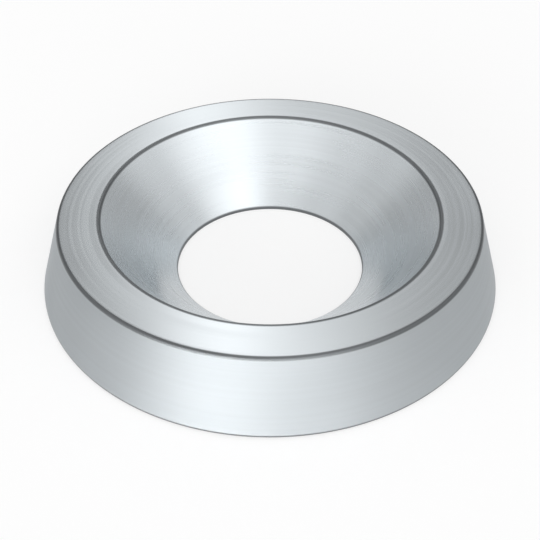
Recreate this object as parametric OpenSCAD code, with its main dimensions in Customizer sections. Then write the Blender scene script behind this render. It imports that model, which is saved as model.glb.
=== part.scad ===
// Countersunk washer for a flat-head screw: one turned steel ring with a flat base,
// an outer wall that leans in towards the top, a flat ring on top,
// and a countersink that runs down to a short straight bore at the base.
// The base lies on Z = 0 and the axis is Z.

/* [Screw hole] */
// Diameter of the bore, a medium clearance hole for an M6 screw
bore_d = 6.6; // [3.4:0.1:13]
// Height of the bore's straight wall, between the base and the countersink
bore_wall_h = 0.1; // [0.1:0.05:1]
// Full angle of the countersink, that of the screw's head, in degrees
sink_angle = 90; // [60:1:120]

/* [Body] */
// Height from the base to the top face
height = 2.6; // [1.6:0.1:6]
// Width of the flat ring on top, between the countersink and the outer wall
top_ring_w = 1.4; // [0.8:0.1:5]
// How far the outer wall flares out from the top face down to the base
wall_flare = 0.8; // [0:0.1:3]

/* [Edges] */
// Rounding of the edge between the countersink and the top face
sink_edge_r = 0.1; // [0.05:0.01:0.3]
// Rounding of the edge between the top face and the outer wall
top_edge_r = 0.1; // [0.05:0.01:0.3]
// Rounding of the edge between the outer wall and the base
base_edge_r = 0.1; // [0.05:0.01:0.3]

/* [Hidden] */
// Radii of the section's corners, from the bore outwards
bore_r = bore_d / 2;
sink_r = bore_r + (height - bore_wall_h) * tan(sink_angle / 2);
top_r = sink_r + top_ring_w;
base_r = top_r + wall_flare;
// Straight steps along each rounded edge
edge_steps = 6;
$fn = 180;

function unit(v) = v / norm(v);

// Points along the rounding of a corner, from its first straight side to its second
function rounded(before, corner, after, r) =
    let (
        first = unit(before - corner),
        second = unit(after - corner),
        half_angle = acos(first * second) / 2,
        reach = r / tan(half_angle),
        centre = corner + unit(first + second) * r / sin(half_angle),
        start = corner + first * reach - centre,
        end = corner + second * reach - centre
    )
    [for (i = [0 : edge_steps]) centre + r * unit(start * (edge_steps - i) + end * i)];

// Half of the washer's cross-section, with the radius along X and the height along Y
module section() {
    bore_base = [bore_r, 0];
    bore_top = [bore_r, bore_wall_h];
    sink_edge = [sink_r, height];
    top_edge = [top_r, height];
    base_edge = [base_r, 0];
    polygon(concat(
        [bore_base, bore_top],
        rounded(bore_top, sink_edge, top_edge, sink_edge_r),
        rounded(sink_edge, top_edge, base_edge, top_edge_r),
        rounded(top_edge, base_edge, bore_base, base_edge_r)
    ));
}

module washer() {
    color([0.70, 0.73, 0.75]) rotate_extrude() section();
}

washer();
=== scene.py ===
"""A countersunk washer of fine-turned steel on a white table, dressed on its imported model."""
import math

import bmesh
import bpy
import numpy as np
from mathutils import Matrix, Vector


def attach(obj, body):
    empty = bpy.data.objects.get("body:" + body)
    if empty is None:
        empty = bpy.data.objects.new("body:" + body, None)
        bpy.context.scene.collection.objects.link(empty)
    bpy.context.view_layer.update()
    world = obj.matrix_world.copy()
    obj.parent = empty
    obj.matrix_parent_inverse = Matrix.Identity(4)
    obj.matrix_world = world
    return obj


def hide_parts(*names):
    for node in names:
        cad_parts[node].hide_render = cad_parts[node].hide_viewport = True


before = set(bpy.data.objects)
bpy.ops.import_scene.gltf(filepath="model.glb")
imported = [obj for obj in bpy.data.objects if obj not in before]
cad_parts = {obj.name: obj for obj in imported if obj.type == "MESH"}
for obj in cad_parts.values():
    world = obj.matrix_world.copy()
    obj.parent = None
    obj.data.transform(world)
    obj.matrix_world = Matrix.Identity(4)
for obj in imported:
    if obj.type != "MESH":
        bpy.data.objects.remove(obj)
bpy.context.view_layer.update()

MM = 0.001

# The camera, in the picture's frame: 540 pixels wide, centred on the washer's axis
PICTURE_WIDTH_PX = 540
FOCAL_LENGTH_PX = 940
SENSOR_MM = 36
CAMERA_DISTANCE = 33.8 * MM
CAMERA_ELEVATION = math.radians(40.3)
AIM_HEIGHT = -0.27 * MM
CLIP_START = 1 * MM
CLIP_END = 10

# The section's corners are told apart to this decimal of a metre, and bend by at least this angle.
# A side between bends is a face if it is longer than this, and the short sides between faces are edges.
CORNER_DECIMALS = 7
LEAST_BEND = math.radians(1)
LEAST_FACE = 0.5 * MM

# The turned ring's mesh: its steps round the axis, the spacing of its rings along each face,
# and the least angle at which it is shaded sharp
TURN_STEPS = 384
RING_SPACING = 0.1 * MM
SHARP_EDGE = math.radians(35)

# The steel's colours, and how far its marks spread reflections across them
STEEL_LIGHT = (0.66, 0.697, 0.72, 1)
STEEL_DARK = (0.623, 0.658, 0.679, 1)
STEEL_ANISOTROPY = 0.9
# Turns the shader's spread from along the marks to across them, as a share of a full turn
QUARTER_TURN = 0.25
# How rough each face is, and how deep its finish reaches
SINK_ROUGHNESS = 0.26
TOP_ROUGHNESS = 0.19
TOP_REACH = 0.06 * MM
# The outer wall is left as turned, so it is rougher and duller than the finer faces, and its colour is
# darkened by a painted shade
WALL_ROUGHNESS = 0.58
WALL_PAINTED_SHADE = 0.9
WALL_REACH = 0.115 * MM
# The darker tone of the rounded edges, a painted shade that draws them as dark lines, and how far from their
# middle it starts to fade and ends
EDGE_SHADE_COLOUR = (0.17, 0.18, 0.187, 1)
EDGE_ROUGHNESS = 0.3
EDGE_NEAR = 0.05 * MM
EDGE_FAR = 0.11 * MM
# Turning marks: their pitch, how much they change round the axis, their depth,
# the part of the noise that they take, and how much they change the roughness
MARK_PITCH = 0.13 * MM
MARK_TURN = 0.35
MARK_DEPTH = 0.0005 * MM
MARK_RANGE = (0.3, 0.7)
MARK_ROUGHNESS = 0.05
# Smudges from handling: their size, the part of the noise that they take, and how much they dull the steel
SMUDGE_SIZE = 4 * MM
SMUDGE_RANGE = (0.45, 0.7)
SMUDGE_ROUGHNESS = 0.03

# The table: its colour, the share of it that shows plain white, and half its width in metres
TABLE_COLOUR = (0.95, 0.95, 0.95, 1)
TABLE_WHITE_SHARE = 0.62
TABLE_HALF = 0.4

# The studio: the room's even level, and each soft box's azimuth from the camera's side and elevation,
# the half width and half height to where it fades out, all in degrees, and its level
ROOM_LEVEL = 0.28
ALL_ROUND = 3600
SOFTBOXES = (
    # In front, at the height of the table, for the streak on the outer wall
    (-30, 0, 38, 30, 7.0),
    (0, 0, 60, 35, 5.8),
    (-60, 0, 40, 30, 2.0),
    # In front and above, for the far side of the countersink
    (0, 50, 150, 40, 0.85),
    (45, 52, 60, 40, 1.0),
    # At the two sides, for the flanks of the countersink
    (90, 45, 50, 40, 0.6),
    (-90, 45, 50, 40, 0.4),
    (120, 45, 25, 25, 0.6),
    (-120, 45, 25, 25, 0.6),
    (130, 25, 45, 35, 0.27),
    (-130, 25, 45, 35, 0.27),
    # Behind, for the top ring
    (185, 36, 7.5, 26, 1.0),
    (179, 40, 18, 35, 0.54),
    (180, 55, 25, 30, 0.6),
    # The ceiling and the horizon
    (0, 90, ALL_ROUND, 40, 0.56),
    (0, 0, ALL_ROUND, 14, 0.6),
)


def add_camera():
    """The picture's camera, in front of the washer and above it."""
    data = bpy.data.cameras.new("camera")
    data.sensor_width = SENSOR_MM
    data.lens = SENSOR_MM * FOCAL_LENGTH_PX / PICTURE_WIDTH_PX
    data.clip_start = CLIP_START
    data.clip_end = CLIP_END
    camera = bpy.data.objects.new("camera", data)
    towards = Vector((0, -math.cos(CAMERA_ELEVATION), math.sin(CAMERA_ELEVATION)))
    camera.location = towards * CAMERA_DISTANCE
    aim = Vector((0, 0, AIM_HEIGHT)) - camera.location
    camera.rotation_euler = aim.to_track_quat("-Z", "Y").to_euler()
    bpy.context.scene.collection.objects.link(camera)
    bpy.context.scene.camera = camera


def section_of(node):
    """The node's section as (radius, height) corners, counter-clockwise.

    It is convex, so the angles about its middle put them in order.
    """
    places = np.array([v.co for v in node.data.vertices])
    corners = np.stack([np.hypot(places[:, 0], places[:, 1]), places[:, 2]], 1)
    corners = np.unique(np.round(corners, CORNER_DECIMALS), axis=0)
    middle = (corners.min(0) + corners.max(0)) / 2
    turn = np.arctan2(corners[:, 1] - middle[1], corners[:, 0] - middle[0])
    return corners[np.argsort(turn)]


def bends_of(section):
    """The section's corners without those along a straight face."""
    before = section - np.roll(section, 1, axis=0)
    after = np.roll(section, -1, axis=0) - section
    across = before[:, 0] * after[:, 1] - before[:, 1] * after[:, 0]
    along = (before * after).sum(1)
    return section[np.arctan2(across, along) > LEAST_BEND]


def faces_and_edges(section):
    """The section's straight faces as (start, end), and the middle of the edge that follows each of them."""
    bends = bends_of(section)
    count = len(bends)
    ahead = np.roll(bends, -1, axis=0)
    sides = np.flatnonzero(np.linalg.norm(ahead - bends, axis=1) > LEAST_FACE)
    faces = [(bends[side], ahead[side]) for side in sides]
    edges = []
    for side, next_side in zip(sides, np.roll(sides, -1)):
        middle = side + 1 + (next_side - side - 1) % count / 2
        nearest = [math.floor(middle) % count, math.ceil(middle) % count]
        edges.append(bends[nearest].mean(0))
    return faces, edges


def outward(face):
    """The direction that a face of the section looks in, as (radius, height)."""
    along = (face[1] - face[0]) / np.linalg.norm(face[1] - face[0])
    return along[1], -along[0]


def with_rings(section):
    """The section with its long sides divided evenly, so that the mesh has even rings."""
    points = []
    for start, end in zip(section, np.roll(section, -1, axis=0)):
        steps = max(1, round(float(np.linalg.norm(end - start)) / RING_SPACING))
        points += [start + (end - start) * i / steps for i in range(steps)]
    return points


def turned_ring(name, section):
    """A mesh turned about Z from a closed section."""
    rings = with_rings(section)
    mesh = bmesh.new()
    turns = [2 * math.pi * i / TURN_STEPS for i in range(TURN_STEPS)]
    columns = [[mesh.verts.new((r * math.cos(t), r * math.sin(t), z)) for r, z in rings] for t in turns]
    for i, column in enumerate(columns):
        following = columns[(i + 1) % TURN_STEPS]
        for j in range(len(rings)):
            k = (j + 1) % len(rings)
            mesh.faces.new((column[j], following[j], following[k], column[k]))
    bmesh.ops.recalc_face_normals(mesh, faces=mesh.faces)
    data = bpy.data.meshes.new(name)
    mesh.to_mesh(data)
    mesh.free()
    data.shade_smooth()
    data.set_sharp_from_angle(angle=SHARP_EDGE)
    ring = bpy.data.objects.new(name, data)
    bpy.context.scene.collection.objects.link(ring)
    return ring


class Graph:
    """Adds nodes to a tree. An input is a socket to link or a constant."""

    def __init__(self, tree):
        self.tree = tree

    def put(self, value, socket):
        if isinstance(value, bpy.types.NodeSocket):
            self.tree.links.new(value, socket)
        else:
            socket.default_value = value

    def node(self, kind, inputs=(), **settings):
        made = self.tree.nodes.new("ShaderNode" + kind)
        for name, setting in settings.items():
            setattr(made, name, setting)
        for key, value in dict(inputs).items():
            self.put(value, made.inputs[key])
        return made

    def math(self, operation, *values):
        return self.node("Math", enumerate(values), operation=operation).outputs["Value"]

    def vector(self, operation, *values):
        made = self.node("VectorMath", enumerate(values), operation=operation)
        return made.outputs["Value" if operation in ("LENGTH", "DISTANCE", "DOT_PRODUCT") else "Vector"]

    def span(self, value, start, end, low=0.0, high=1.0):
        """Low before the start, high after the end, and smooth between them."""
        inputs = {"Value": value, "From Min": start, "From Max": end, "To Min": low, "To Max": high}
        return self.node("MapRange", inputs, interpolation_type="SMOOTHSTEP").outputs["Result"]

    def mix(self, factor, first, second):
        return self.node("Mix", {0: factor, 2: first, 3: second}, data_type="FLOAT").outputs[0]

    def blend(self, factor, first, second):
        return self.node("Mix", {0: factor, 6: first, 7: second}, data_type="RGBA").outputs[2]


def turning_marks(graph, spot, flat):
    """Noise that changes fast across the faces and slowly round the axis, with no seam."""
    turn = graph.node("SeparateXYZ", {0: graph.vector("NORMALIZE", flat)}).outputs
    slow_x, slow_y = [graph.math("MULTIPLY", turn[axis], MARK_TURN) for axis in ("X", "Y")]
    where = graph.node("CombineXYZ", {"Z": slow_x}).outputs["Vector"]
    where = graph.vector("MULTIPLY_ADD", spot, (1 / MARK_PITCH, 1 / MARK_PITCH, 0), where)
    noise = {"Vector": where, "W": slow_y, "Scale": 1, "Detail": 1}
    return graph.node("TexNoise", noise, noise_dimensions="4D").outputs["Fac"]


def on_face(graph, spot, face, reach):
    """1 on a face of the section, and 0 deeper than its reach."""
    direction = outward(face)
    level = float(np.dot(direction, face[0]))
    depth = graph.vector("DOT_PRODUCT", spot, (*direction, 0))
    return graph.span(depth, level - reach, level - reach / 2)


def on_edges(graph, spot, edges):
    """1 along the middle of each edge of the section, and 0 away from them all."""
    away = EDGE_FAR
    for edge in edges:
        away = graph.math("MINIMUM", away, graph.vector("DISTANCE", spot, (*edge, 0)))
    return graph.span(away, EDGE_NEAR, EDGE_FAR, 1.0, 0.0)


def steel(section):
    """Turned steel: marks that run round the axis, faint smudges, and a finish for each face and edge, with
    painted shade on the outer wall and the edges.
    """
    material = bpy.data.materials.new("turned_steel")
    material.use_nodes = True
    graph = Graph(material.node_tree)
    shader = material.node_tree.nodes["Principled BSDF"]
    shader.inputs["Metallic"].default_value = 1
    shader.inputs["Anisotropic"].default_value = STEEL_ANISOTROPY
    shader.inputs["Anisotropic Rotation"].default_value = QUARTER_TURN
    tangent = graph.node("Tangent", direction_type="RADIAL", axis="Z")
    graph.put(tangent.outputs["Tangent"], shader.inputs["Tangent"])

    place = graph.node("TexCoord").outputs["Object"]
    height = graph.node("SeparateXYZ", {0: place}).outputs["Z"]
    flat = graph.vector("MULTIPLY", place, (1, 1, 0))
    radius = graph.vector("LENGTH", flat)
    spot = graph.node("CombineXYZ", {"X": radius, "Y": height}).outputs["Vector"]
    marks = turning_marks(graph, spot, flat)
    smudges = {"Vector": place, "Scale": 1 / SMUDGE_SIZE, "Detail": 1}
    smudges = graph.node("TexNoise", smudges).outputs["Fac"]

    faces, edges = faces_and_edges(section)
    wall = max(faces, key=lambda face: outward(face)[0])
    top = max(faces, key=lambda face: outward(face)[1])
    on_wall = on_face(graph, spot, wall, WALL_REACH)
    on_top = on_face(graph, spot, top, TOP_REACH)
    on_edge = on_edges(graph, spot, edges)

    rough = graph.mix(on_top, graph.mix(on_wall, SINK_ROUGHNESS, WALL_ROUGHNESS), TOP_ROUGHNESS)
    rough = graph.mix(on_edge, rough, EDGE_ROUGHNESS)
    rough = graph.math("ADD", rough, graph.span(marks, *MARK_RANGE, -MARK_ROUGHNESS / 2, MARK_ROUGHNESS / 2))
    rough = graph.math("ADD", rough, graph.span(smudges, *SMUDGE_RANGE, 0.0, SMUDGE_ROUGHNESS))
    graph.put(rough, shader.inputs["Roughness"])
    colour = graph.blend(graph.span(marks, *MARK_RANGE), STEEL_DARK, STEEL_LIGHT)
    # Painted shade: the outer wall's colour is darkened
    colour = graph.vector("MULTIPLY", colour, graph.mix(on_wall, 1.0, WALL_PAINTED_SHADE))
    # Painted shade: the rounded edges take the darker edge colour, which draws them as dark lines
    graph.put(graph.blend(on_edge, colour, EDGE_SHADE_COLOUR), shader.inputs["Base Color"])
    bump = graph.node("Bump", {"Distance": MARK_DEPTH, "Height": marks})
    graph.put(bump.outputs["Normal"], shader.inputs["Normal"])
    return material


def add_floor():
    """A white table. Part of it shows plain white, and the rest is lit paint, which keeps the shadow."""
    material = bpy.data.materials.new("white_table")
    material.use_nodes = True
    material.node_tree.nodes.clear()
    graph = Graph(material.node_tree)
    paint = graph.node("BsdfDiffuse", {"Color": TABLE_COLOUR}).outputs["BSDF"]
    white = graph.node("Emission", {"Strength": 1}).outputs["Emission"]
    rays = graph.node("LightPath").outputs
    shows = graph.math("MAXIMUM", rays["Is Camera Ray"], rays["Is Glossy Ray"])
    shows = graph.math("MAXIMUM", shows, rays["Is Transmission Ray"])
    share = graph.math("MULTIPLY", shows, TABLE_WHITE_SHARE)
    mixed = graph.node("MixShader", {0: share, 1: paint, 2: white}).outputs["Shader"]
    graph.node("OutputMaterial", {"Surface": mixed})
    data = bpy.data.meshes.new("floor")
    half = TABLE_HALF
    corners = [(-half, -half, 0), (half, -half, 0), (half, half, 0), (-half, half, 0)]
    data.from_pydata(corners, [], [(0, 1, 2, 3)])
    data.materials.append(material)
    floor = bpy.data.objects.new("floor", data)
    bpy.context.scene.collection.objects.link(floor)


def add_world():
    """White soft boxes all round, each brightest in its middle and fading out to its edge."""
    world = bpy.data.worlds.new("studio")
    world.use_nodes = True
    graph = Graph(world.node_tree)
    direction = graph.node("SeparateXYZ", {0: graph.node("TexCoord").outputs["Generated"]}).outputs
    azimuth = graph.math("ARCTAN2", direction["X"], graph.math("MULTIPLY", direction["Y"], -1.0))
    elevation = graph.math("ARCSINE", direction["Z"])
    angles = graph.node("CombineXYZ", {"X": azimuth, "Y": elevation}).outputs["Vector"]
    total = ROOM_LEVEL
    for box_azimuth, box_elevation, width, height, level in SOFTBOXES:
        centre = (math.radians(box_azimuth), math.radians(box_elevation), 0)
        away = graph.vector("SUBTRACT", angles, centre)
        away = graph.vector("WRAP", away, (math.pi, math.pi, 1), (-math.pi, -math.pi, -1))
        away = graph.vector("MULTIPLY", away, (1 / math.radians(width), 1 / math.radians(height), 0))
        total = graph.math("ADD", graph.span(graph.vector("LENGTH", away), 1.0, 0.0, 0.0, level), total)
    background = world.node_tree.nodes["Background"]
    background.inputs["Color"].default_value = (1, 1, 1, 1)
    graph.put(total, background.inputs["Strength"])
    bpy.context.scene.world = world


add_camera()
section = section_of(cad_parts["washer"])
washer = turned_ring("turned_washer", section)
washer.data.materials.append(steel(section))
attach(washer, "root")
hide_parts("washer")
add_floor()
add_world()
bpy.context.scene.view_settings.view_transform = "Standard"
